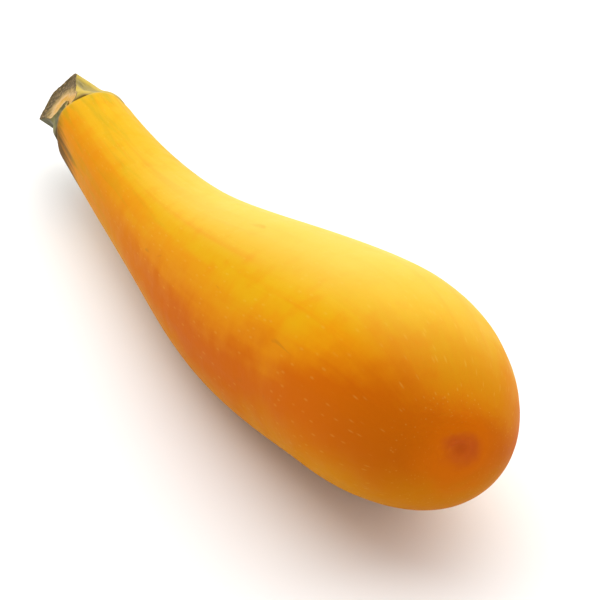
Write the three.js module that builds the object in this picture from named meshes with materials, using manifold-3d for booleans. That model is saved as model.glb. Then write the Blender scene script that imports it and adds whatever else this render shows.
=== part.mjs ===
// A golden zucchini, club-shaped and slightly bowed, lying on its belly.
// Millimetres, +Z up. The stem end points to -X and the blossom end to +X.
// The origin is the centre of the bounding box's base, on the surface that the fruit lies on.
import * as THREE from "three";
import { mergeVertices } from "three/addons/utils/BufferGeometryUtils.js";
import Module from "manifold-3d";

// Fruit outline, as radius against distance along the spine from the shoulder.
const FRUIT_LENGTH = 196;
const SHOULDER_DEPTH = 9;
const SHOULDER_RADIUS = 10.6;
const NECK_TAPER = 0.02;
const NECK_REACH = 85;
const BELLY_AT = 155.5;
const BELLY_RADIUS = 22.7;
const BELLY_REACH = 58.3;
const BLOSSOM_REACH = 17.5;
const BLOSSOM_ROUND = 14.8;
const SCAR_RADIUS = 2.4;
const SCAR_DEPTH = 0.5;

// The blossom scar sits above the middle of the end, and the skin round it rises with it.
const SCAR_LIFT = 4;
const SCAR_LIFT_REACH = 14;

// The spine bows sideways at the neck and turns back at the blossom end.
const SPINE = new THREE.CubicBezierCurve3(
  new THREE.Vector3(4, -0.5, 11.5),
  new THREE.Vector3(136.7, -15.8, 7.4),
  new THREE.Vector3(142.6, 6.9, 22.9),
  new THREE.Vector3(198.5, -7.5, 24.6),
);

// Flat patch that ripening against the ground leaves under the belly.
const BELLY_FLAT_DEPTH = 0.6;

// Five soft ribs run down from the stem and fade out on the belly.
const RIBS = 5;
const RIB_DEPTH = 0.03;
const RIB_FADE_LENGTH = 120;

// Stem stub: a collar that grips the shoulder, then five ridges up to a slanting cut.
const COLLAR_DEPTH = 6;
const COLLAR_RADIUS = 9.7;
const WAIST_HEIGHT = 11;
const WAIST_RADIUS = 7.4;
const STEM_TOP_RADIUS = 7;
const STEM_RIDGE_DEPTH = 0.09;
const STEM_REACH = 6.4;
const STEM_SPARE = 10;
const STEM_BEND_AT = 6.8;
const STEM_LEAN = new THREE.Vector3(-0.58, -0.68, 0.45);
const CUT_NORMAL = new THREE.Vector3(-0.31, -0.67, 0.67);
const SKIN_GAP = 0.3;

// How finely the outlines and the rounds are stepped, and a size that clears the whole stem.
const FRUIT_STEPS = 44;
const SHOULDER_STEPS = 5;
const FLANK_STEPS = 26;
const BLOSSOM_STEPS = 14;
const STEM_STEPS = 40;
const STEM_OUTLINE_STEPS = 8;
const CUT_BLOCK = 60;

const wasm = await Module();
wasm.setup();

// The closed mesh of a geometry as a solid, for joining and cutting.
function toSolid(geometry) {
  const bare = geometry.clone();
  bare.deleteAttribute("normal");
  bare.deleteAttribute("uv");
  const merged = mergeVertices(bare, 1e-4);
  return new wasm.Manifold(
    new wasm.Mesh({
      numProp: 3,
      vertProperties: new Float32Array(merged.attributes.position.array),
      triVerts: new Uint32Array(merged.index.array),
    }),
  );
}

// A solid back as a geometry with flat-shaded faces.
function toGeometry(solid) {
  const { vertProperties, triVerts } = solid.getMesh();
  const indexed = new THREE.BufferGeometry();
  indexed.setAttribute("position", new THREE.BufferAttribute(vertProperties, 3));
  indexed.setIndex(new THREE.BufferAttribute(triVerts, 1));
  const geometry = indexed.toNonIndexed();
  geometry.computeVertexNormals();
  return geometry;
}

// Bends a lathed shape, which stands along Y, onto a curve. The shape's height picks the place on
// the curve, the horizontal side of the curve is angle 0, and lobes() scales the radius by angle.
// What lift() gives raises each place.
function bendOnto(curve, lathed, length, lobes, lift) {
  const place = lathed.attributes.position;
  const up = new THREE.Vector3(0, 0, 1);
  for (let i = 0; i < place.count; i += 1) {
    const along = place.getY(i);
    const u = THREE.MathUtils.clamp(along / length, 0, 1);
    const angle = Math.atan2(-place.getZ(i), place.getX(i));
    const radius = Math.hypot(place.getX(i), place.getZ(i)) * lobes(angle, along);
    const tangent = curve.getTangentAt(u);
    const side = new THREE.Vector3().crossVectors(up, tangent).normalize();
    const over = new THREE.Vector3().crossVectors(tangent, side);
    const point = curve.getPointAt(u).addScaledVector(tangent, along - u * length);
    point.addScaledVector(side, radius * Math.cos(angle));
    point.addScaledVector(over, radius * Math.sin(angle) + lift(radius, along));
    place.setXYZ(i, point.x, point.y, point.z);
  }
  return lathed;
}

// The fruit's half outline, grown by a margin where the stem's seat is cut from it.
function fruitOutline(margin) {
  const shoulder = SHOULDER_RADIUS + margin;
  const belly = BELLY_RADIUS + margin;
  const path = new THREE.Path();
  path.moveTo(0, -margin);
  path.absellipse(0, SHOULDER_DEPTH, shoulder, SHOULDER_DEPTH + margin, -Math.PI / 2, 0, false);
  path.bezierCurveTo(
    shoulder + NECK_TAPER * NECK_REACH, SHOULDER_DEPTH + NECK_REACH,
    belly, BELLY_AT - BELLY_REACH,
    belly, BELLY_AT,
  );
  path.bezierCurveTo(
    belly, BELLY_AT + BLOSSOM_REACH,
    BLOSSOM_ROUND, FRUIT_LENGTH,
    SCAR_RADIUS, FRUIT_LENGTH,
  );
  const [rounding, flank, blossom] = path.curves;
  return [
    ...rounding.getPoints(SHOULDER_STEPS),
    ...flank.getPoints(FLANK_STEPS).slice(1),
    ...blossom.getPoints(BLOSSOM_STEPS).slice(1),
    new THREE.Vector2(0, FRUIT_LENGTH - SCAR_DEPTH),
  ];
}

function ribbed(angle, along) {
  const fade = THREE.MathUtils.clamp(1 - along / RIB_FADE_LENGTH, 0, 1);
  return 1 + RIB_DEPTH * fade * fade * Math.cos(RIBS * angle);
}

function scarLift(radius, along) {
  const share = along > BELLY_AT ? 1 - THREE.MathUtils.smoothstep(radius, 0, SCAR_LIFT_REACH) : 0;
  return SCAR_LIFT * share;
}

function fruitBody(margin) {
  const lathed = new THREE.LatheGeometry(fruitOutline(margin), FRUIT_STEPS);
  return toSolid(bendOnto(SPINE, lathed, FRUIT_LENGTH, ribbed, scarLift));
}

// A block that fills a half space: its top face is centred on a point and looks along a normal.
function blockBelow(point, normal, size) {
  const block = new THREE.BoxGeometry(size, size, size);
  block.translate(0, 0, -size / 2);
  const turn = new THREE.Quaternion().setFromUnitVectors(new THREE.Vector3(0, 0, 1), normal);
  block.applyQuaternion(turn);
  block.translate(point.x, point.y, point.z);
  return toSolid(block);
}

function makeFruit() {
  const whole = fruitBody(0);
  const lowest = whole.boundingBox().min[2];
  const ground = new THREE.Vector3(FRUIT_LENGTH / 2, 0, lowest + BELLY_FLAT_DEPTH);
  return whole.subtract(blockBelow(ground, new THREE.Vector3(0, 0, 1), 2 * FRUIT_LENGTH));
}

function ridged(angle, along) {
  const rise = THREE.MathUtils.smoothstep(along, 0, COLLAR_DEPTH);
  return 1 + STEM_RIDGE_DEPTH * (1 + rise) / 2 * Math.cos(RIBS * angle);
}

function makeStem() {
  const outward = SPINE.getTangentAt(0).negate();
  const seat = SPINE.getPointAt(0);
  const lean = STEM_LEAN.clone().normalize();
  const inside = seat.clone().addScaledVector(outward, -COLLAR_DEPTH);
  const bend = seat.clone().addScaledVector(outward, STEM_BEND_AT);
  const end = bend.clone().addScaledVector(lean, STEM_REACH + STEM_SPARE);
  const curve = new THREE.QuadraticBezierCurve3(inside, bend, end);
  const length = curve.getLength();
  const path = new THREE.Path();
  path.moveTo(0, 0);
  path.lineTo(COLLAR_RADIUS, 0);
  path.bezierCurveTo(
    COLLAR_RADIUS, COLLAR_DEPTH,
    WAIST_RADIUS, COLLAR_DEPTH,
    WAIST_RADIUS, WAIST_HEIGHT,
  );
  path.lineTo(STEM_TOP_RADIUS, length);
  path.lineTo(0, length);
  const outline = path.getPoints(STEM_OUTLINE_STEPS);
  const lathed = new THREE.LatheGeometry(outline, STEM_STEPS);
  const raw = toSolid(bendOnto(curve, lathed, length, ridged, () => 0));
  const normal = CUT_NORMAL.clone().normalize();
  const cut = bend.clone().addScaledVector(lean, STEM_REACH);
  const kept = raw.intersect(blockBelow(cut, normal, CUT_BLOCK));
  return kept.subtract(fruitBody(SKIN_GAP));
}

function named(name, solid, color, roughness) {
  const material = new THREE.MeshStandardMaterial({ color, roughness, metalness: 0 });
  const mesh = new THREE.Mesh(toGeometry(solid), material);
  mesh.name = name;
  return mesh;
}

const zucchini = new THREE.Group();
zucchini.add(named("fruit", makeFruit(), 0xe89a10, 0.35));
zucchini.add(named("stem", makeStem(), 0x7d7f4a, 0.7));

// Stand the group on the origin: box centre in X and Y, lowest face in Z.
const box = new THREE.Box3().setFromObject(zucchini, true);
const centre = box.getCenter(new THREE.Vector3());
zucchini.position.set(-centre.x, -centre.y, -box.min.z);

export default zucchini;
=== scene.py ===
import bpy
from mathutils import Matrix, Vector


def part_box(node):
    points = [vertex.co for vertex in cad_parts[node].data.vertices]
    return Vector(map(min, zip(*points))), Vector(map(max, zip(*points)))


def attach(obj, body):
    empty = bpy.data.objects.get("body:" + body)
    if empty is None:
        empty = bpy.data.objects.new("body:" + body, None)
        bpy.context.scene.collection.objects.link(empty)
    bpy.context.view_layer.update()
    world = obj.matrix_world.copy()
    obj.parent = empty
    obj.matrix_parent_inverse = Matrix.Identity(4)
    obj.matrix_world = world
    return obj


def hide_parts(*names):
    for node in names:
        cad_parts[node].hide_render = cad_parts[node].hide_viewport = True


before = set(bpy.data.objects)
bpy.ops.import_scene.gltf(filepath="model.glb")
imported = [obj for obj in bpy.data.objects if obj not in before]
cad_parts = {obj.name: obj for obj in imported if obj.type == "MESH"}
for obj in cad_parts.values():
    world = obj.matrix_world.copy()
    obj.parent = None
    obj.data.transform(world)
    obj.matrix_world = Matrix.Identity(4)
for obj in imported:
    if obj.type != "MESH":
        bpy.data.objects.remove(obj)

"""A golden zucchini lying on its belly: waxy skin, blossom scar and slant-cut stem stub.

Sizes are millimetres until a piece is settled on the frame, and metres after that. The depths of
reliefs and the studio's places are metres too. +Z is up, the stem end points to -X and the
blossom end to +X.
"""

import logging
import math
from dataclasses import dataclass
from enum import Enum

import bmesh
import bpy
from mathutils import Vector, noise
from mathutils.geometry import interpolate_bezier

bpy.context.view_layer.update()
LOG = logging.getLogger("zucchini")
MM = 0.001

# Points of a shell that are nearer than this, in millimetres, become one.
MERGE_DISTANCE = 1e-4

# Handle lengths with which a cubic curve draws a quarter circle, and a quadratic curve.
CIRCLE_HANDLE = 0.5523
QUADRATIC_HANDLE = 2.0 / 3.0

# How many samples on either side give a path its direction.
TANGENT_REACH = 2

# Places of a Mix node's colour sockets, because its other sockets have the same names.
COLOUR_SHARE, COLOUR_UNDER, COLOUR_OVER, COLOUR_RESULT = 0, 6, 7, 2

Socket = bpy.types.NodeSocket
Triple = tuple[float, float, float]
Colour = tuple[float, float, float, float]
Value = Socket | float
Tint = Socket | Colour


class Slot(Enum):
    """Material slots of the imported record."""

    SKIN = "skin"
    STEM = "stem"


class Mark(Enum):
    """Point attributes that the finishes read."""

    GRAIN = "grain"
    SCAR = "scar"
    CUT = "cut"


class Sum(Enum):
    """Sums that the finishes work out."""

    MULTIPLY = "MULTIPLY"
    MULTIPLY_ADD = "MULTIPLY_ADD"


@dataclass(frozen=True)
class Fade:
    """How a value becomes a share: nothing at the start, the top at the end.

    The end may be below the start.
    """

    start: float
    end: float
    top: float = 1.0


@dataclass(frozen=True)
class Pattern:
    """Soft noise: how fine it is, its finer layers, its distortion and its factors on each axis."""

    scale: float = 1.0
    detail: float = 3.0
    bend: float = 0.0
    stretch: Triple | None = None


def smooth_step(value: float, start: float, end: float) -> float:
    """Eases from 0 at one limit to 1 at the other.

    Args:
        value: The place to read.
        start: Where the ease starts.
        end: Where the ease ends; it may be below the start.

    Returns:
        A number from 0 to 1.
    """
    share = min(1.0, max(0.0, (value - start) / (end - start)))
    return share * share * (3.0 - 2.0 * share)


def noise_round(along: float, angle: float, turns: float) -> float:
    """Reads noise round a tube, where it meets itself without a seam.

    Args:
        along: The place along the tube, in waves of the noise.
        angle: The angle round it.
        turns: How fine the noise is round it.

    Returns:
        A number from -1 to 1.
    """
    return noise.noise(Vector((along, turns * math.cos(angle), turns * math.sin(angle))))


class Recipe:
    """A material being written, with short calls that add nodes and join their sockets."""

    def __init__(self, name: str) -> None:
        """Starts an empty material.

        Args:
            name: The material's name.
        """
        self.material = bpy.data.materials.new(name)
        self.material.use_nodes = True
        self.tree = self.material.node_tree
        self.tree.nodes.clear()

    def feed(self, socket: Socket, value: Value | Tint | Triple) -> None:
        """Joins a socket to another, or sets its own value.

        Args:
            socket: The input to fill.
            value: An output to join it to, or the value to set.
        """
        if isinstance(value, Socket):
            self.tree.links.new(value, socket)
        else:
            socket.default_value = value

    def node(self, kind: str, **settings: str) -> bpy.types.Node:
        """Adds a node.

        Args:
            kind: The node's type name.
            **settings: Properties to set on it.

        Returns:
            The new node.
        """
        made = self.tree.nodes.new(kind)
        for name, value in settings.items():
            setattr(made, name, value)
        return made

    def work_out(self, operation: Sum, *numbers: Value) -> Socket:
        """Works out one sum.

        Args:
            operation: The sum's kind.
            *numbers: The numbers that go into it, in order.

        Returns:
            The result's socket.
        """
        made = self.node("ShaderNodeMath", operation=operation.value)
        for socket, number in zip(made.inputs, numbers):
            self.feed(socket, number)
        return made.outputs[0]

    def weigh(self, *parts: tuple[Socket, float], start: float = 0.0) -> Socket:
        """Adds up values, each times its weight.

        Args:
            *parts: Each value with its weight.
            start: What they are added to.

        Returns:
            The total's socket.
        """
        total: Value = start
        for value, weight in parts:
            total = self.work_out(Sum.MULTIPLY_ADD, value, weight, total)
        return total

    def product(self, first: Socket, *others: Socket) -> Socket:
        """Multiplies values.

        Args:
            first: The first value.
            *others: The rest of them.

        Returns:
            The product's socket.
        """
        total = first
        for value in others:
            total = self.work_out(Sum.MULTIPLY, total, value)
        return total

    def ease(self, value: Socket, fade: Fade) -> Socket:
        """Turns a value into a share.

        Args:
            value: The value to read.
            fade: Where the share starts and ends.

        Returns:
            The share's socket.
        """
        made = self.node("ShaderNodeMapRange", interpolation_type="SMOOTHSTEP")
        self.feed(made.inputs["Value"], value)
        self.feed(made.inputs["From Min"], fade.start)
        self.feed(made.inputs["From Max"], fade.end)
        self.feed(made.inputs["To Max"], fade.top)
        return made.outputs["Result"]

    def attribute(self, mark: Mark) -> bpy.types.Node:
        """Reads a point attribute and returns its node."""
        return self.node("ShaderNodeAttribute", attribute_name=mark.value)

    def split(self, vector: Socket) -> tuple[Socket, ...]:
        """Takes a vector apart.

        Args:
            vector: The vector to take apart.

        Returns:
            The sockets of its three numbers.
        """
        made = self.node("ShaderNodeSeparateXYZ")
        self.feed(made.inputs["Vector"], vector)
        return tuple(made.outputs)

    def place(self) -> Socket:
        """Returns the socket of the piece's own Object coordinates."""
        return self.node("ShaderNodeTexCoord").outputs["Object"]

    def stretch(self, vector: Socket, by: Triple) -> Socket:
        """Scales a vector along each axis.

        Args:
            vector: The vector to scale.
            by: The three factors.

        Returns:
            The scaled vector's socket.
        """
        made = self.node("ShaderNodeMapping")
        self.feed(made.inputs["Vector"], vector)
        self.feed(made.inputs["Scale"], by)
        return made.outputs["Vector"]

    def cloud(self, vector: Socket, pattern: Pattern) -> Socket:
        """Reads soft noise.

        Args:
            vector: Where to read it.
            pattern: What it is like.

        Returns:
            The socket of the noise, which lies around 0.5.
        """
        if pattern.stretch is not None:
            vector = self.stretch(vector, pattern.stretch)
        made = self.node("ShaderNodeTexNoise")
        self.feed(made.inputs["Vector"], vector)
        self.feed(made.inputs["Scale"], pattern.scale)
        self.feed(made.inputs["Detail"], pattern.detail)
        self.feed(made.inputs["Distortion"], pattern.bend)
        return made.outputs["Fac"]

    def dots(self, vector: Socket, scale: Triple) -> Socket:
        """Reads the distance to the nearest of many scattered points.

        Args:
            vector: Where to read it.
            scale: How fine the points are along each axis.

        Returns:
            The distance's socket.
        """
        made = self.node("ShaderNodeTexVoronoi")
        self.feed(made.inputs["Vector"], self.stretch(vector, scale))
        self.feed(made.inputs["Scale"], 1.0)
        return made.outputs["Distance"]

    def blend(self, share: Socket, under: Tint, over: Colour) -> Socket:
        """Lays one colour over another.

        Args:
            share: How much of the upper colour shows.
            under: The lower colour.
            over: The upper colour.

        Returns:
            The mixed colour's socket.
        """
        made = self.node("ShaderNodeMix", data_type="RGBA")
        self.feed(made.inputs[COLOUR_SHARE], share)
        self.feed(made.inputs[COLOUR_UNDER], under)
        self.feed(made.inputs[COLOUR_OVER], over)
        return made.outputs[COLOUR_RESULT]

    def coat(self, under: Tint, *coats: tuple[Socket, Fade, Colour]) -> Tint:
        """Lays coats of colour over one another.

        Args:
            under: The lowest colour.
            *coats: The value that each coat follows, how it fades in, and its colour.

        Returns:
            The topmost colour's socket.
        """
        colour = under
        for value, fade, over in coats:
            colour = self.blend(self.ease(value, fade), colour, over)
        return colour

    def bump(self, height: Socket, depth: float, after: Socket | None = None) -> Socket:
        """Raises a fine relief.

        Args:
            height: The relief, from 0 to 1.
            depth: Its depth in metres.
            after: A relief that this one lies on.

        Returns:
            The normal's socket.
        """
        made = self.node("ShaderNodeBump")
        self.feed(made.inputs["Strength"], 1.0)
        self.feed(made.inputs["Distance"], depth)
        self.feed(made.inputs["Height"], height)
        if after is not None:
            self.feed(made.inputs["Normal"], after)
        return made.outputs["Normal"]

    def finish(
        self,
        colour: Tint,
        roughness: Value,
        normal: Socket | None = None,
        **constants: float | Triple,
    ) -> bpy.types.Material:
        """Ends the recipe in one shader.

        Args:
            colour: The base colour.
            roughness: The roughness.
            normal: The relief, if there is one.
            **constants: Other sockets by name, with underscores for spaces.

        Returns:
            The finished material.
        """
        shader = self.node("ShaderNodeBsdfPrincipled")
        output = self.node("ShaderNodeOutputMaterial")
        self.feed(shader.inputs["Base Color"], colour)
        self.feed(shader.inputs["Roughness"], roughness)
        for name, value in constants.items():
            self.feed(shader.inputs[name.replace("_", " ")], value)
        if normal is not None:
            self.feed(shader.inputs["Normal"], normal)
        self.feed(output.inputs["Surface"], shader.outputs["BSDF"])
        return self.material


@dataclass(frozen=True)
class SkinReadings:
    """Sockets that several coats of the skin read."""

    place: Socket
    grain: Socket
    along: Socket
    side: Socket
    over: Socket
    streaks: Socket
    blotches: Socket
    mottle: Socket


@dataclass(frozen=True)
class SkinFinish:
    """Waxy golden skin: yellow on top, orange on the flanks, tinged with green at the neck, and
    painted light and shade.
    """

    sunny: Colour = (0.66, 0.36, 0.003, 1.0)
    # Orange of streaks and freckles, and of the flanks, where it is partly painted shade.
    ripe_tone_and_painted_light: Colour = (0.68, 0.24, 0.002, 1.0)
    # Deep orange of the scar's ring, and painted shade on the flanks.
    deep: Colour = (0.56, 0.12, 0.001, 1.0)
    # Painted shade of the blossom end.
    tip: Colour = (0.40, 0.09, 0.001, 1.0)
    # Painted highlight of the crown.
    painted_sheen: Colour = (0.72, 0.50, 0.09, 1.0)
    green: Colour = (0.40, 0.30, 0.006, 1.0)
    # Painted shade by the stem.
    shade_olive: Colour = (0.09, 0.045, 0.003, 1.0)
    speck: Colour = (0.76, 0.52, 0.10, 1.0)
    scuff: Colour = (0.35, 0.12, 0.01, 1.0)
    cork: Colour = (0.44, 0.07, 0.008, 1.0)

    # Patterns that follow the grain.
    streaks: Pattern = Pattern(bend=0.5, stretch=(3.6, 6.0, 6.0))
    threads: Pattern = Pattern(bend=0.5, stretch=(8.0, 5.5, 5.5))
    pores: Triple = (46.0, 15.0, 15.0)

    # Patterns that don't.
    blotches: Pattern = Pattern(34.0, bend=0.6)
    mottle: Pattern = Pattern(190.0, detail=4.0)
    scuffs: Pattern = Pattern(detail=2.0, bend=1.2, stretch=(60.0, 150.0, 150.0))
    patches: Pattern = Pattern(150.0, bend=0.8)
    peel: Pattern = Pattern(700.0, detail=2.0)

    # Orange of the flanks, partly the fruit's own colour and partly painted shade: its weights for
    # along, side and over, and for the blotches, streaks and mottle that make its edge uneven.
    shaded_flank_end: Fade = Fade(0.76, 1.0, 0.7)
    shaded_flank_lean: Triple = (-0.2, -0.45, -0.75)
    shaded_flank_uneven: Triple = (0.5, 0.3, 0.3)
    ripe_shaded_flank: Fade = Fade(-0.11, 0.56)
    ripe_streaks: Fade = Fade(0.45, 0.75, 0.45)
    ripe_freckles: Fade = Fade(0.5, 0.75, 0.35)
    deep_shaded_flank: Fade = Fade(0.31, 0.81)
    deep_past_neck: Fade = Fade(0.1, 0.6)
    # Painted bounce light: the underside turned back to yellow, as if lit by the floor.
    bounce_lit_uneven: float = 0.8
    bounce_lit_underside: Fade = Fade(0.5, -0.3, 0.55)
    # Painted shade that darkens the blossom end.
    shaded_tip_end: Fade = Fade(0.84, 1.0, 0.6)

    # Painted highlight: a pale sheen on the crown of the belly.
    sheen_side: float = 0.45
    sheen_top: Fade = Fade(0.5, 1.1)
    sheen_past_neck: Fade = Fade(0.15, 0.5)
    sheen_before_end: Fade = Fade(0.98, 0.75, 0.75)
    sheen_off_side: Fade = Fade(0.95, 0.6)

    # Green round the stem, and the painted-shade brown spot in it, with its weights for seat, side
    # and over.
    seat_uneven: float = -0.16
    green_seat: Fade = Fade(0.0, -0.07, 0.5)
    vein_shortening: float = -0.6
    green_veins: Fade = Fade(0.36, 0.72, 0.45)
    shade_olive_lean: Triple = (-4.5, -0.95, -0.4)
    shade_olive_spot: Fade = Fade(0.66, 1.05, 0.9)

    # Small marks.
    pore_edge: Fade = Fade(0.24, 0.06, 0.13)
    scuff_edge: Fade = Fade(0.73, 0.78, 0.3)
    scar_uneven: float = 0.5
    scar_ring: Fade = Fade(0.35, 1.1, 0.8)
    scar_cork: Fade = Fade(0.98, 1.3, 0.8)

    # Gloss and relief.
    roughness: float = 0.42
    roughness_mottle: Fade = Fade(0.3, 0.7, 0.1)
    peel_depth: float = 0.00005
    streak_depth: float = 0.00012
    blotch_depth: float = 0.0006
    subsurface: float = 0.08
    subsurface_colours: Triple = (1.0, 0.42, 0.08)
    subsurface_depth: float = 0.005
    specular: float = 0.015

    def read(self, recipe: Recipe) -> SkinReadings:
        """Reads the directions and patterns that several coats share.

        Args:
            recipe: The skin's recipe.

        Returns:
            The sockets.
        """
        place = recipe.place()
        grain = recipe.attribute(Mark.GRAIN).outputs["Vector"]
        along, side, over = recipe.split(grain)
        return SkinReadings(
            place=place,
            grain=grain,
            along=along,
            side=side,
            over=over,
            streaks=recipe.cloud(grain, self.streaks),
            blotches=recipe.cloud(place, self.blotches),
            mottle=recipe.cloud(place, self.mottle),
        )

    def ripen(self, recipe: Recipe, seen: SkinReadings) -> Socket:
        """Lays orange down the flanks, deepest at the blossom end, partly as painted shade; paints
        bounce light below and a pale highlight on the crown.

        Args:
            recipe: The skin's recipe.
            seen: The readings that the coats share.

        Returns:
            The colour's socket.
        """
        # Partly painted shade: orange where the fruit turns down and away from the light.
        flank = recipe.weigh(
            (recipe.ease(seen.along, self.shaded_flank_end), 1.0),
            *zip((seen.along, seen.side, seen.over), self.shaded_flank_lean),
            *zip((seen.blotches, seen.streaks, seen.mottle), self.shaded_flank_uneven),
        )
        colour = recipe.coat(
            self.sunny,
            (flank, self.ripe_shaded_flank, self.ripe_tone_and_painted_light),
            (seen.streaks, self.ripe_streaks, self.ripe_tone_and_painted_light),
            (seen.mottle, self.ripe_freckles, self.ripe_tone_and_painted_light),
        )
        # Painted shade: deep orange on the flanks.
        deep = recipe.product(
            recipe.ease(flank, self.deep_shaded_flank),
            recipe.ease(seen.along, self.deep_past_neck),
        )
        colour = recipe.blend(deep, colour, self.deep)
        # Painted bounce light: yellow laid back on the underside.
        low = recipe.weigh((seen.over, 1.0), (seen.blotches, self.bounce_lit_uneven))
        colour = recipe.coat(
            colour,
            (low, self.bounce_lit_underside, self.sunny),
            # Painted shade darkens the blossom end.
            (seen.along, self.shaded_tip_end, self.tip),
        )
        # Painted highlight: a pale sheen laid on the crown of the belly.
        sheen_place = recipe.weigh((seen.side, self.sheen_side), (seen.over, 1.0))
        sheen_place = recipe.product(
            recipe.ease(sheen_place, self.sheen_top),
            recipe.ease(seen.along, self.sheen_past_neck),
            recipe.ease(seen.along, self.sheen_before_end),
            recipe.ease(seen.side, self.sheen_off_side),
        )
        return recipe.blend(sheen_place, colour, self.painted_sheen)

    def tinge(self, recipe: Recipe, seen: SkinReadings, under: Socket) -> Socket:
        """Leaves green round the stem and in streaks down the neck, and paints shade in brown on
        one side.

        Args:
            recipe: The skin's recipe.
            seen: The readings that the coats share.
            under: The colour below.

        Returns:
            The colour's socket.
        """
        threads = recipe.cloud(seen.grain, self.threads)
        seat = recipe.weigh((seen.along, 1.0), (threads, self.seat_uneven))
        veins = recipe.weigh((threads, 1.0), (seen.along, self.vein_shortening))
        # Painted shade: a brown spot where the stem meets the shoulder, down the neck's shaded
        # side.
        shade_spot = recipe.weigh(*zip((seat, seen.side, seen.over), self.shade_olive_lean))
        return recipe.coat(
            under,
            (seat, self.green_seat, self.green),
            (veins, self.green_veins, self.green),
            (shade_spot, self.shade_olive_spot, self.shade_olive),
        )

    def mark(self, recipe: Recipe, seen: SkinReadings, under: Socket) -> Socket:
        """Adds pale pores, a few scuffs and the reddish cork of the blossom scar.

        Args:
            recipe: The skin's recipe.
            seen: The readings that the coats share.
            under: The colour below.

        Returns:
            The colour's socket.
        """
        scar = recipe.weigh(
            (recipe.attribute(Mark.SCAR).outputs["Fac"], 1.0),
            (recipe.cloud(seen.place, self.patches), self.scar_uneven),
        )
        return recipe.coat(
            under,
            (recipe.dots(seen.grain, self.pores), self.pore_edge, self.speck),
            (recipe.cloud(seen.place, self.scuffs), self.scuff_edge, self.scuff),
            (scar, self.scar_ring, self.deep),
            (scar, self.scar_cork, self.cork),
        )

    def make(self) -> bpy.types.Material:
        """Writes the skin.

        Returns:
            The material.
        """
        recipe = Recipe("waxy_skin")
        seen = self.read(recipe)
        colour = self.ripen(recipe, seen)
        colour = self.tinge(recipe, seen, colour)
        colour = self.mark(recipe, seen, colour)
        gloss = recipe.ease(seen.mottle, self.roughness_mottle)
        relief = recipe.bump(recipe.cloud(seen.place, self.peel), self.peel_depth)
        relief = recipe.bump(seen.streaks, self.streak_depth, relief)
        relief = recipe.bump(seen.blotches, self.blotch_depth, relief)
        return recipe.finish(
            colour,
            recipe.weigh((gloss, 1.0), start=self.roughness),
            relief,
            Subsurface_Weight=self.subsurface,
            Subsurface_Radius=self.subsurface_colours,
            Subsurface_Scale=self.subsurface_depth,
            Specular_IOR_Level=self.specular,
        )


@dataclass(frozen=True)
class BarkFinish:
    """Ridged skin of the stem: dark green as painted shade below, yellow-green as painted light on
    top.
    """

    leaf: Colour = (0.12, 0.11, 0.025, 1.0)
    dark: Colour = (0.06, 0.052, 0.012, 1.0)
    ridge: Colour = (0.34, 0.30, 0.08, 1.0)
    ripe_tone_and_painted_light: Colour = (0.48, 0.33, 0.012, 1.0)
    dried: Colour = (0.10, 0.055, 0.014, 1.0)

    fibres: Pattern = Pattern(detail=4.0, bend=0.3, stretch=(90.0, 420.0, 420.0))
    blotches: Pattern = Pattern(230.0, bend=0.5)

    leaf_slopes: Fade = Fade(-0.7, 0.5)
    ridge_crests: Fade = Fade(0.35, 1.1, 0.8)
    sky_uneven: float = 0.3
    painted_light_top: Fade = Fade(0.25, 0.85, 0.95)
    leaf_furrows: Fade = Fade(0.0, -0.9, 0.5)
    painted_shade_below: Fade = Fade(0.1, -0.4, 0.7)
    leaf_end: Fade = Fade(0.5, 0.75, 0.6)
    ridge_fibres: Fade = Fade(0.5, 0.72, 0.4)
    dark_fibres: Fade = Fade(0.5, 0.3, 0.5)
    dried_blotches: Fade = Fade(0.55, 0.75, 0.5)
    dried_collar: Fade = Fade(0.1, 0.0, 0.7)

    roughness: float = 0.6
    fibre_depth: float = 0.0005
    specular: float = 0.3

    def make(self) -> bpy.types.Material:
        """Writes the bark.

        Returns:
            The material.
        """
        recipe = Recipe("stem_bark")
        place = recipe.place()
        along, crest, turn = recipe.split(recipe.attribute(Mark.GRAIN).outputs["Vector"])
        fibres = recipe.cloud(place, self.fibres)
        blotches = recipe.cloud(place, self.blotches)
        # Painted light and shade: yellow on the side facing the sky, dark green below.
        skyward = recipe.weigh((turn, 1.0), (blotches, self.sky_uneven))
        colour = recipe.coat(
            self.dark,
            (crest, self.leaf_slopes, self.leaf),
            (crest, self.ridge_crests, self.ridge),
            (skyward, self.painted_light_top, self.ripe_tone_and_painted_light),
            (crest, self.leaf_furrows, self.leaf),
            (skyward, self.painted_shade_below, self.dark),
            (along, self.leaf_end, self.leaf),
            (fibres, self.ridge_fibres, self.ridge),
            (fibres, self.dark_fibres, self.dark),
            (blotches, self.dried_blotches, self.dried),
            (along, self.dried_collar, self.dried),
        )
        relief = recipe.bump(fibres, self.fibre_depth)
        return recipe.finish(colour, self.roughness, relief, Specular_IOR_Level=self.specular)


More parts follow.
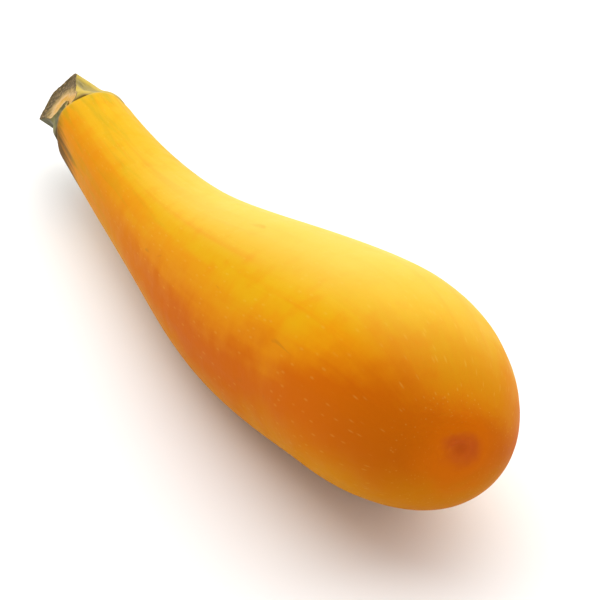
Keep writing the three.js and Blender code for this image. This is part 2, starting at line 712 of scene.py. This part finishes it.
@dataclass(frozen=True)
class CutFinish:
    """The slanting cut through the stem: pale pith inside a dried brown ring."""

    pith: Colour = (0.62, 0.40, 0.17, 1.0)
    flesh: Colour = (0.62, 0.33, 0.04, 1.0)
    ring: Colour = (0.30, 0.20, 0.05, 1.0)
    rim: Colour = (0.09, 0.058, 0.014, 1.0)

    wander: Pattern = Pattern(330.0, detail=4.0, bend=0.6)
    fibres: Pattern = Pattern(1300.0, detail=2.0)
    pores: Triple = (900.0, 900.0, 900.0)

    edge_uneven: float = 0.6
    flesh_middle: Fade = Fade(0.75, 0.4)
    ring_edge: Fade = Fade(0.6, 1.0)
    rim_edge: Fade = Fade(0.85, 1.25)
    pith_fibres: Fade = Fade(0.5, 0.7, 0.4)
    ring_pores: Fade = Fade(0.3, 0.1, 0.4)

    roughness: float = 0.75
    wander_depth: float = 0.0005
    pore_depth: float = 0.0002
    specular: float = 0.25

    def make(self) -> bpy.types.Material:
        """Writes the cut.

        Returns:
            The material.
        """
        recipe = Recipe("stem_cut")
        place = recipe.place()
        share = recipe.attribute(Mark.CUT).outputs["Fac"]
        wander = recipe.cloud(place, self.wander)
        pores = recipe.dots(place, self.pores)
        edge = recipe.weigh((share, 1.0), (wander, self.edge_uneven))
        colour = recipe.coat(
            self.pith,
            (edge, self.flesh_middle, self.flesh),
            (edge, self.ring_edge, self.ring),
            (edge, self.rim_edge, self.rim),
            (recipe.cloud(place, self.fibres), self.pith_fibres, self.pith),
            (pores, self.ring_pores, self.ring),
        )
        relief = recipe.bump(wander, self.wander_depth)
        relief = recipe.bump(pores, self.pore_depth, relief)
        return recipe.finish(colour, self.roughness, relief, Specular_IOR_Level=self.specular)


@dataclass(frozen=True)
class FloorFinish:
    """Plain pale floor with the faintest unevenness."""

    shade: Colour = (0.86, 0.855, 0.85, 1.0)
    fleck: Colour = (0.83, 0.825, 0.82, 1.0)
    flecks: Pattern = Pattern(9.0, detail=2.0)
    roughness: float = 0.6
    specular: float = 0.2

    def make(self) -> bpy.types.Material:
        """Writes the floor.

        Returns:
            The material.
        """
        recipe = Recipe("pale_floor")
        flecks = recipe.cloud(recipe.place(), self.flecks)
        colour = recipe.blend(flecks, self.shade, self.fleck)
        return recipe.finish(colour, self.roughness, Specular_IOR_Level=self.specular)


class Path:
    """A Bezier path that can be walked by distance, with a level side direction."""

    def __init__(self, points: list[Vector], steps: int = 400) -> None:
        """Samples the path.

        Args:
            points: The four control points, in millimetres.
            steps: How many samples to take.
        """
        self.places = interpolate_bezier(*points, steps)
        self.walked = [0.0]
        for before, after in zip(self.places, self.places[1:]):
            self.walked.append(self.walked[-1] + (after - before).length)

    @property
    def length(self) -> float:
        """The path's whole length in millimetres."""
        return self.walked[-1]

    def at(self, distance: float) -> tuple[Vector, Vector, Vector, Vector]:
        """Finds the place and the directions at a distance along the path.

        Args:
            distance: Millimetres from the start; past an end it goes on straight.

        Returns:
            The place, then the directions forward, sideways and over.
        """
        last = len(self.places) - 2
        low = min(last, max(0, int(distance / self.length * (last + 1))))
        while low < last and self.walked[low + 1] < distance:
            low += 1
        while low > 0 and self.walked[low] > distance:
            low -= 1
        before, after = max(0, low - TANGENT_REACH), min(last, low + TANGENT_REACH) + 1
        forward = (self.places[after] - self.places[before]).normalized()
        piece = self.places[low + 1] - self.places[low]
        gone = (distance - self.walked[low]) / (self.walked[low + 1] - self.walked[low])
        place = self.places[low] + piece * gone
        side = Vector((0.0, 0.0, 1.0)).cross(forward).normalized()
        return place, forward, side, forward.cross(side)


def spin_outline(points: list[Vector], steps: int) -> bmesh.types.BMesh:
    """Spins a half outline round the X axis into a closed shell.

    Args:
        points: The outline from axis to axis, with distance in X and radius in Y.
        steps: How many faces go round.

    Returns:
        The shell as a bmesh, with its poles closed and its faces outwards.
    """
    shell = bmesh.new()
    verts = [shell.verts.new(point) for point in points]
    edges = [shell.edges.new(pair) for pair in zip(verts, verts[1:])]
    bmesh.ops.spin(
        shell,
        geom=verts + edges,
        cent=(0.0, 0.0, 0.0),
        axis=(1.0, 0.0, 0.0),
        dvec=(0.0, 0.0, 0.0),
        angle=math.tau,
        steps=steps,
        use_merge=True,
    )
    bmesh.ops.remove_doubles(shell, verts=shell.verts, dist=MERGE_DISTANCE)
    bmesh.ops.recalc_face_normals(shell, faces=shell.faces)
    return shell


@dataclass
class Fruit:
    """The whole fruit: neck, belly, blossom end and its small corky scar."""

    # Half outline, as radius against distance along the spine from the shoulder.
    length: float = 196.0
    shoulder_depth: float = 9.0
    shoulder_radius: float = 10.6
    neck_taper: float = 0.02
    neck_reach: float = 85.0
    belly_at: float = 155.5
    belly_radius: float = 22.7
    belly_reach: float = 58.3
    blossom_reach: float = 17.5
    blossom_round: float = 14.8

    # The scar's rim and dip, as rise past the end against radius, and how the skin rises round it.
    scar_radius: float = 2.4
    scar_profile: tuple[tuple[float, float], ...] = (
        (0.10, 2.2),
        (0.14, 1.9),
        (0.05, 1.5),
        (-0.20, 1.0),
        (-0.40, 0.5),
        (-0.45, 0.0),
    )
    scar_lift: float = 4.0
    scar_lift_reach: float = 14.0

    # Ribs, and the uneven growth, which is still at both ends.
    ribs: int = 5
    rib_depth: float = 0.03
    rib_fade: float = 120.0
    sway: float = 0.014
    wobble_wave: float = 34.0
    wobble_turns: float = 1.7
    ripple_share: float = 0.5
    ripple_wave: float = 60.0
    ripple_turns: float = 5.0
    still_neck: float = 20.0
    still_end: float = 30.0

    # Flat place where the fruit lies.
    flat_depth: float = 0.6
    flat_ease: float = 0.3

    faces_round: int = 192
    shoulder_steps: int = 16
    flank_steps: int = 130
    blossom_steps: int = 52
    spine: tuple[Triple, ...] = (
        (4.0, -0.5, 11.5),
        (136.7, -15.8, 7.4),
        (142.6, 6.9, 22.9),
        (198.5, -7.5, 24.6),
    )

    def outline(self) -> list[Vector]:
        """Draws the half outline from the stem's seat to the blossom scar.

        Returns:
            The points, with distance in X and radius in Y.
        """
        depth, shoulder, tip = self.shoulder_depth, self.shoulder_radius, self.length
        reach = self.neck_reach
        rounding = (
            Vector((0.0, 0.0, 0.0)),
            Vector((0.0, shoulder * CIRCLE_HANDLE, 0.0)),
            Vector((depth * (1.0 - CIRCLE_HANDLE), shoulder, 0.0)),
            Vector((depth, shoulder, 0.0)),
        )
        flank = (
            rounding[-1],
            Vector((depth + reach, shoulder + self.neck_taper * reach, 0.0)),
            Vector((self.belly_at - self.belly_reach, self.belly_radius, 0.0)),
            Vector((self.belly_at, self.belly_radius, 0.0)),
        )
        blossom = (
            flank[-1],
            Vector((self.belly_at + self.blossom_reach, self.belly_radius, 0.0)),
            Vector((tip, self.blossom_round, 0.0)),
            Vector((tip, self.scar_radius, 0.0)),
        )
        points = interpolate_bezier(*rounding, self.shoulder_steps)
        points += interpolate_bezier(*flank, self.flank_steps)[1:]
        points += interpolate_bezier(*blossom, self.blossom_steps)[1:]
        return points + [Vector((tip + rise, radius, 0.0)) for rise, radius in self.scar_profile]

    def swell(self, along: float, angle: float) -> float:
        """Gives the ribs and the slight unevenness of a grown fruit.

        Args:
            along: Millimetres from the shoulder.
            angle: Angle round the spine.

        Returns:
            What the radius is multiplied by.
        """
        fade = min(1.0, max(0.0, 1.0 - along / self.rib_fade))
        ribs = self.rib_depth * fade * fade * math.cos(self.ribs * angle)
        wobble = noise_round(along / self.wobble_wave, angle, self.wobble_turns)
        ripple = noise_round(along / self.ripple_wave, angle, self.ripple_turns)
        free = smooth_step(along, 0.0, self.still_neck)
        free *= smooth_step(along, self.length, self.length - self.still_end)
        return 1.0 + ribs + free * self.sway * (wobble + self.ripple_share * ripple)

    def bend(self, shell: bmesh.types.BMesh) -> None:
        """Bends the straight shell onto the spine and notes the grain and the scar.

        Args:
            shell: The spun shell, which is changed.
        """
        path = Path([Vector(point) for point in self.spine])
        grain = shell.verts.layers.float_vector.new(Mark.GRAIN.value)
        scar = shell.verts.layers.float.new(Mark.SCAR.value)
        for vert in shell.verts:
            along = vert.co.x
            angle = math.atan2(vert.co.z, vert.co.y)
            radius = math.hypot(vert.co.y, vert.co.z) * self.swell(along, angle)
            place, _, side, over = path.at(along * path.length / self.length)
            if along > self.belly_at:
                vert[scar] = smooth_step(radius, self.scar_lift_reach, 0.0)
                place += over * self.scar_lift * vert[scar]

            # The grain draws in to nothing at the scar, so that no streak breaks there.
            spread = 1.0 - vert[scar]
            across, up = math.cos(angle), math.sin(angle)
            vert[grain] = Vector((along / self.length, across * spread, up * spread))
            vert.co = place + (side * across + over * up) * radius

    def press(self, shell: bmesh.types.BMesh) -> None:
        """Presses the lowest skin softly flat, where the fruit lies on the ground.

        Args:
            shell: The bent shell, which is changed.
        """
        level = min(vert.co.z for vert in shell.verts) + self.flat_depth
        for vert in shell.verts:
            above = vert.co.z - level
            vert.co.z = level + 0.5 * (above + math.hypot(above, self.flat_ease))

    def settle(self, shell: bmesh.types.BMesh) -> Vector:
        """Moves the shell onto the frame's fruit and into metres.

        Args:
            shell: The pressed shell, which is changed.

        Returns:
            How far everything drawn beside the fruit moves too, in millimetres.
        """
        low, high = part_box("fruit")
        columns = list(zip(*(vert.co for vert in shell.verts)))
        bottom = Vector([min(column) for column in columns])
        top = Vector([max(column) for column in columns])
        shift = (low + high) / (2.0 * MM) - (bottom + top) / 2.0
        shift.z = low.z / MM - bottom.z
        move_into_metres(shell, shift)
        return shift

    def build(self, finish: SkinFinish) -> tuple[bpy.types.Object, Vector]:
        """Makes the fruit.

        Args:
            finish: The skin's finish.

        Returns:
            The piece, and how far the stem moves to meet it, in millimetres.
        """
        shell = spin_outline(self.outline(), self.faces_round)
        self.bend(shell)
        self.press(shell)
        shift = self.settle(shell)
        return make_piece("golden_fruit", shell, [finish.make()], "fruit"), shift


@dataclass
class Stem:
    """The stub of stem: a collar on the shoulder, ridges, and a slanting cut."""

    # Half outline, with a shallow hollow in the side that rests on the shoulder.
    collar_depth: float = 6.0
    collar_radius: float = 9.7
    waist_height: float = 11.0
    waist_radius: float = 7.4
    top_radius: float = 7.0
    hollow_depth: float = 0.8
    hollow_share: float = 0.5

    # Ridges, and the roughness of the bark.
    ridges: int = 5
    ridge_depth: float = 0.09
    ridge_sharpness: float = 1.3
    rough_depth: float = 0.02
    rough_wave: float = 5.0
    rough_turns: float = 6.0

    # The bend, the lean past it, and the cut.
    bend_at: float = 6.8
    reach: float = 6.4
    spare: float = 10.0
    lean: Triple = (-0.58, -0.68, 0.45)
    cut_normal: Triple = (-0.31, -0.67, 0.67)

    # Rings across the cut, as share of its rim against rise.
    rings: tuple[tuple[float, float], ...] = (
        (0.96, 0.12),
        (0.91, 0.0),
        (0.85, -0.2),
        (0.70, -0.28),
        (0.52, -0.32),
        (0.34, -0.45),
        (0.18, -0.6),
        (0.06, -0.65),
    )
    rough_cut: float = 0.16

    # Which way the bark's painted-light side looks, across and up, and the way the cut's drier side
    # looks.
    sky_across: float = -0.37
    sky_up: float = 0.93
    weather_side: Triple = (-0.85, 0.51, 0.11)
    dried: float = 0.62

    faces_round: int = 180
    collar_steps: int = 28
    stub_steps: int = 24

    def outline(self, length: float) -> list[Vector]:
        """Draws the half outline from inside the shoulder to past the cut.

        Args:
            length: The length of the stem's path.

        Returns:
            The points, with distance in X and radius in Y.
        """
        hollow = self.hollow_depth
        collar = (
            Vector((0.0, self.collar_radius, 0.0)),
            Vector((self.collar_depth, self.collar_radius, 0.0)),
            Vector((self.collar_depth, self.waist_radius, 0.0)),
            Vector((self.waist_height, self.waist_radius, 0.0)),
        )
        rim = Vector((length, self.top_radius, 0.0))
        points = [
            Vector((hollow, 0.0, 0.0)),
            Vector((hollow, self.hollow_share * self.collar_radius, 0.0)),
        ]
        points += interpolate_bezier(*collar, self.collar_steps)
        for step in range(1, self.stub_steps + 1):
            points.append(collar[-1].lerp(rim, step / self.stub_steps))
        return points + [Vector((length, 0.0, 0.0))]

    def bend(self, shell: bmesh.types.BMesh, path: Path) -> None:
        """Bends the straight stub onto its path, raises the ridges and notes the grain.

        Args:
            shell: The spun stub, which is changed.
            path: The stem's path.
        """
        grain = shell.verts.layers.float_vector.new(Mark.GRAIN.value)
        for vert in shell.verts:
            along = vert.co.x
            angle = math.atan2(vert.co.z, vert.co.y)
            across, up = math.cos(angle), math.sin(angle)
            rise = smooth_step(along, 0.0, self.collar_depth)
            wave = 0.5 + 0.5 * math.cos(self.ridges * angle)
            crest = 2.0 * wave**self.ridge_sharpness - 1.0
            rough = noise_round(along / self.rough_wave, angle, self.rough_turns)
            ridge = self.ridge_depth * (1.0 + rise) / 2.0 * crest + self.rough_depth * rough
            radius = math.hypot(vert.co.y, vert.co.z) * (1.0 + ridge)
            place, _, side, over = path.at(along)
            # How far the bark faces the sky, which sets its painted light and shade.
            skyward = self.sky_across * across + self.sky_up * up
            vert[grain] = Vector((along / path.length, crest, skyward))
            vert.co = place + (side * across + over * up) * radius

    def cut(self, shell: bmesh.types.BMesh, middle: Vector) -> None:
        """Cuts the stub at a slant and closes the cut with rings that dip to the pith.

        Args:
            shell: The bent stub, which is changed.
            middle: The middle of the cut.
        """
        normal = Vector(self.cut_normal).normalized()
        bmesh.ops.bisect_plane(
            shell,
            geom=list(shell.verts) + list(shell.edges) + list(shell.faces),
            plane_co=middle,
            plane_no=normal,
            clear_outer=True,
        )
        share = shell.verts.layers.float.new(Mark.CUT.value)
        for vert in shell.verts:
            vert[share] = 1.0
        rim = [edge for edge in shell.edges if edge.is_boundary]
        centre = sum((edge.verts[0].co for edge in rim), Vector()) / len(rim)
        weather = Vector(self.weather_side).normalized()
        before = 1.0
        for size, rise in self.rings:
            made = bmesh.ops.extrude_edge_only(shell, edges=rim)["geom"]
            verts = [item for item in made if isinstance(item, bmesh.types.BMVert)]
            edges = [item for item in made if isinstance(item, bmesh.types.BMEdge)]
            rim = [edge for edge in edges if edge.is_boundary]
            for vert in verts:
                flat = centre + (vert.co - centre) * size / before
                flat -= normal * (flat - centre).dot(normal)
                vert.co = flat + normal * (rise + self.rough_cut * noise.noise(flat))
                vert[share] = size + self.dried * (flat - centre).dot(weather) / self.top_radius
                for face in vert.link_faces:
                    face.material_index = 1
            before = size
        bmesh.ops.contextual_create(shell, geom=rim, mat_nr=1)
        bmesh.ops.recalc_face_normals(shell, faces=shell.faces)

    def build(
        self, fruit: Fruit, shift: Vector, bark: BarkFinish, cut: CutFinish
    ) -> bpy.types.Object:
        """Makes the stem.

        Args:
            fruit: The fruit that it sits on.
            shift: How far the fruit was moved onto the frame, in millimetres.
            bark: The finish of its sides.
            cut: The finish of the cut.

        Returns:
            The piece.
        """
        seat, forward, _, _ = Path([Vector(point) for point in fruit.spine]).at(0.0)
        lean = Vector(self.lean).normalized()
        inside = seat + forward * self.collar_depth
        knee = seat - forward * self.bend_at
        end = knee + lean * (self.reach + self.spare)
        handles = [place.lerp(knee, QUADRATIC_HANDLE) for place in (inside, end)]
        path = Path([inside, *handles, end])
        shell = spin_outline(self.outline(path.length), self.faces_round)
        self.bend(shell, path)
        self.cut(shell, knee + lean * self.reach)
        move_into_metres(shell, shift)
        return make_piece("stem_stub", shell, [bark.make(), cut.make()], "stem")


def move_into_metres(shell: bmesh.types.BMesh, shift: Vector) -> None:
    """Moves a shell and then scales it from millimetres to metres.

    Args:
        shell: The shell, which is changed.
        shift: How far it moves, in millimetres.
    """
    bmesh.ops.translate(shell, verts=shell.verts, vec=shift)
    bmesh.ops.scale(shell, verts=shell.verts, vec=(MM, MM, MM))


def make_piece(
    name: str,
    shell: bmesh.types.BMesh,
    materials: list[bpy.types.Material],
    node: str,
) -> bpy.types.Object:
    """Turns a shell into a smooth-shaded piece that stands for a node of the frame.

    Args:
        name: The piece's name.
        shell: The finished shell in metres, which is freed.
        materials: The piece's materials, in the order of its faces' numbers.
        node: The node that it replaces.

    Returns:
        The piece.
    """
    mesh = bpy.data.meshes.new(name)
    shell.to_mesh(mesh)
    shell.free()
    mesh.shade_smooth()
    for material in materials:
        mesh.materials.append(material)
    piece = bpy.data.objects.new(name, mesh)
    bpy.context.scene.collection.objects.link(piece)
    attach(piece, "root")
    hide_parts(node)
    return piece


@dataclass
class Studio:
    """Pale floor, soft lights and the camera. Places are in metres."""

    floor_size: float = 60.0

    # The camera looks at the target from a turn and a tilt in degrees.
    target: Triple = (0.02517, 0.00484, 0.02075)
    distance: float = 0.428
    azimuth: float = 62.6
    elevation: float = 30.0
    lens: float = 120.0

    # One broad light, whose spread is in degrees, and a white sky.
    key_strength: float = 3.1
    key_spread: float = 110.0
    key_place: Triple = (-0.42, 0.36, 0.83)
    key_colour: Triple = (1.0, 0.985, 0.96)
    sky: Colour = (1.0, 1.0, 1.0, 1.0)
    sky_strength: float = 0.75

    def lay_floor(self, finish: FloorFinish) -> None:
        """Lays the floor.

        Args:
            finish: The floor's finish.
        """
        sheet = bmesh.new()
        bmesh.ops.create_grid(sheet, x_segments=1, y_segments=1, size=self.floor_size / 2.0)
        mesh = bpy.data.meshes.new("floor")
        sheet.to_mesh(mesh)
        sheet.free()
        mesh.materials.append(finish.make())
        floor = bpy.data.objects.new("floor", mesh)
        bpy.context.scene.collection.objects.link(floor)

    def aim(self, thing: bpy.types.Object, place: Vector, target: Vector) -> None:
        """Puts a light or camera at a place and turns it to a target.

        Args:
            thing: What to place.
            place: Where it goes.
            target: What it looks at.
        """
        thing.location = place
        thing.rotation_euler = (target - place).to_track_quat("-Z", "Y").to_euler()
        bpy.context.scene.collection.objects.link(thing)

    def light(self) -> None:
        """Hangs the broad key light and fills the sky, which looks white itself."""
        key = bpy.data.lights.new("key", "SUN")
        key.energy = self.key_strength
        key.angle = math.radians(self.key_spread)
        key.color = self.key_colour
        self.aim(bpy.data.objects.new("key", key), Vector(self.key_place), Vector())
        world = bpy.data.worlds.new("sky")
        world.use_nodes = True
        tree = world.node_tree
        seen = tree.nodes.new("ShaderNodeLightPath").outputs["Is Camera Ray"]
        strength = tree.nodes.new("ShaderNodeMapRange")
        strength.inputs["To Min"].default_value = self.sky_strength
        tree.links.new(seen, strength.inputs["Value"])
        backdrop = tree.nodes["Background"]
        backdrop.inputs["Color"].default_value = self.sky
        tree.links.new(strength.outputs["Result"], backdrop.inputs["Strength"])
        bpy.context.scene.world = world

    def stand_camera(self) -> None:
        """Stands the camera and makes it the scene's own."""
        turn, tilt = math.radians(self.azimuth), math.radians(self.elevation)
        level = math.cos(tilt)
        way = Vector((math.sin(turn) * level, -math.cos(turn) * level, math.sin(tilt)))
        lens = bpy.data.cameras.new("camera")
        lens.lens = self.lens
        camera = bpy.data.objects.new("camera", lens)
        target = Vector(self.target)
        self.aim(camera, target + way * self.distance, target)
        bpy.context.scene.camera = camera

    def build(self) -> None:
        """Sets up the whole studio."""
        bpy.context.scene.view_settings.view_transform = "Standard"
        self.lay_floor(FloorFinish())
        self.light()
        self.stand_camera()
        LOG.info("studio: camera at azimuth %.1f, elevation %.1f", self.azimuth, self.elevation)


def main() -> None:
    """Builds the studio, the fruit and the stem, in that order, and reports each piece."""
    logging.basicConfig(level=logging.INFO, format="%(name)s: %(message)s")
    Studio().build()
    fruit = Fruit()
    body, shift = fruit.build(SkinFinish())
    stub = Stem().build(fruit, shift, BarkFinish(), CutFinish())
    for piece in (body, stub):
        LOG.info("%s: %d faces", piece.name, len(piece.data.polygons))


if __name__ == "__main__":
    main()
